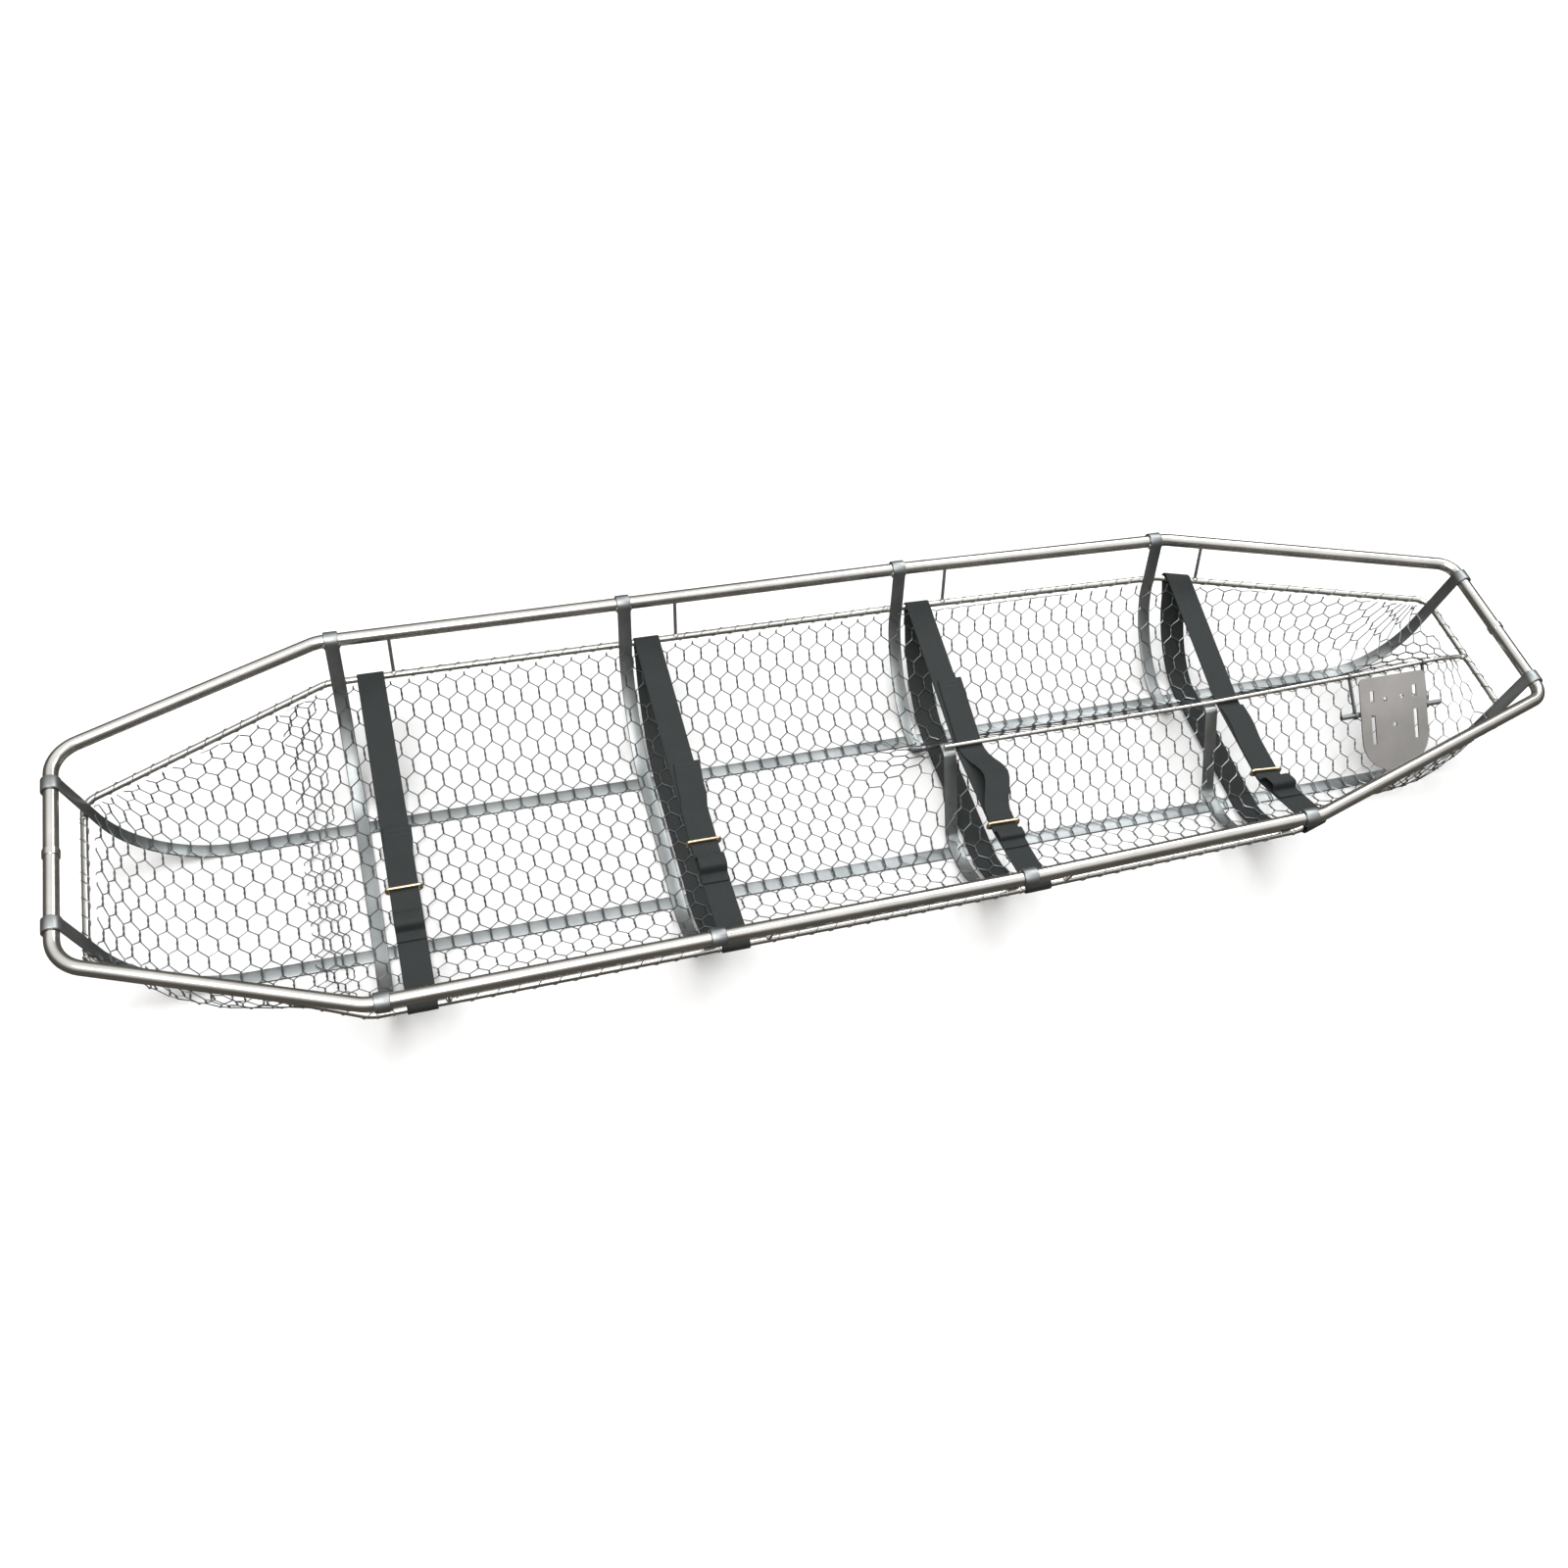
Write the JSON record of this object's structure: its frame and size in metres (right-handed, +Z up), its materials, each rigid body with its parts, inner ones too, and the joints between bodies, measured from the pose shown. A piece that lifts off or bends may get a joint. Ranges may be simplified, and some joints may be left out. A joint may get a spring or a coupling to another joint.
{
  "type": "basket rescue stretcher",
  "caption": "Wire basket rescue stretcher: bent tube rails, flat steel ribs and runners, hexagonal wire netting, raised leg divider, webbing straps with bar buckles and a foot plate.",
  "frame": {"origin": "middle of the basket on the surface it stands on", "axes": "+X to the foot end, +Y to the left side seen from the head, +Z up"},
  "size_m": [2.1334, 0.61, 0.2147],
  "materials": {
    "polished_steel": "polished",
    "strip_steel": "satin",
    "netting": "galvanised",
    "plate": "matte",
    "webbing": "woven",
    "brass": "polished"
  },
  "bodies": {
    "frame": {"rail_far": "polished_steel", "rail_near": "polished_steel", "head_spigot": "polished_steel", "foot_spigot": "polished_steel", "head_joint_ring": "polished_steel", "foot_joint_ring": "polished_steel", "lower_rail_far": "polished_steel", "lower_rail_near": "polished_steel", "rib_1": "strip_steel", "rib_2": "strip_steel", "rib_3": "strip_steel", "rib_4": "strip_steel", "runner_far": "strip_steel", "runner_near": "strip_steel", "keepers_far": "polished_steel", "keepers_near": "polished_steel", "net_head": "netting", "net_bay_1": "netting", "net_bay_2": "netting", "net_bay_3": "netting", "net_foot": "netting", "ridge_rod": "polished_steel", "pivot_hanger_1": "strip_steel", "pivot_hanger_2": "strip_steel", "pivot_bar": "polished_steel"},
    "foot_plate": {"foot_plate": "plate"},
    "strap_1": {"strap_1_upper": "webbing", "strap_1_tail": "webbing", "strap_1_under": "webbing"},
    "buckle_1": {"buckle_1": "brass"},
    "strap_2": {"strap_2_upper": "webbing", "strap_2_tail": "webbing", "strap_2_under": "webbing"},
    "buckle_2": {"buckle_2": "brass"},
    "strap_3": {"strap_3_upper": "webbing", "strap_3_tail": "webbing", "strap_3_under": "webbing"},
    "buckle_3": {"buckle_3": "brass"},
    "strap_4": {"strap_4_upper": "webbing", "strap_4_tail": "webbing", "strap_4_under": "webbing"},
    "buckle_4": {"buckle_4": "brass"}
  },
  "joints": [
    {"name": "foot_plate_rock", "type": "hinge", "parent": "frame", "child": "foot_plate", "pos_m": [0.886, -0.051, 0.1], "axis": [1, 0, 0], "range_deg": [-8, 8]},
    {"name": "strap_1_slide", "type": "slide", "parent": "frame", "child": "strap_1", "axis": [1, 0, 0], "range_m": [-0.014, 0.01]},
    {"name": "buckle_1_slide", "type": "slide", "parent": "strap_1", "child": "buckle_1", "axis": [0, 0.9998, -0.0185], "range_m": [-0.004, 0.05]},
    {"name": "strap_2_slide", "type": "slide", "parent": "frame", "child": "strap_2", "axis": [1, 0, 0], "range_m": [-0.003, 0.018]},
    {"name": "buckle_2_slide", "type": "slide", "parent": "strap_2", "child": "buckle_2", "axis": [0.0078, 0.9997, -0.0225], "range_m": [-0.004, 0.05]},
    {"name": "strap_3_slide", "type": "slide", "parent": "frame", "child": "strap_3", "axis": [1, 0, 0], "range_m": [-0.001, 0.014]},
    {"name": "buckle_3_slide", "type": "slide", "parent": "strap_3", "child": "buckle_3", "axis": [0.0209, 0.9946, -0.1021], "range_m": [-0.004, 0.014]},
    {"name": "strap_4_slide", "type": "slide", "parent": "frame", "child": "strap_4", "axis": [1, 0, 0], "range_m": [-0.0008, 0.005]},
    {"name": "buckle_4_slide", "type": "slide", "parent": "strap_4", "child": "buckle_4", "axis": [0.0743, 0.9924, -0.0982], "range_m": [-0.004, 0.05]}
  ]
}
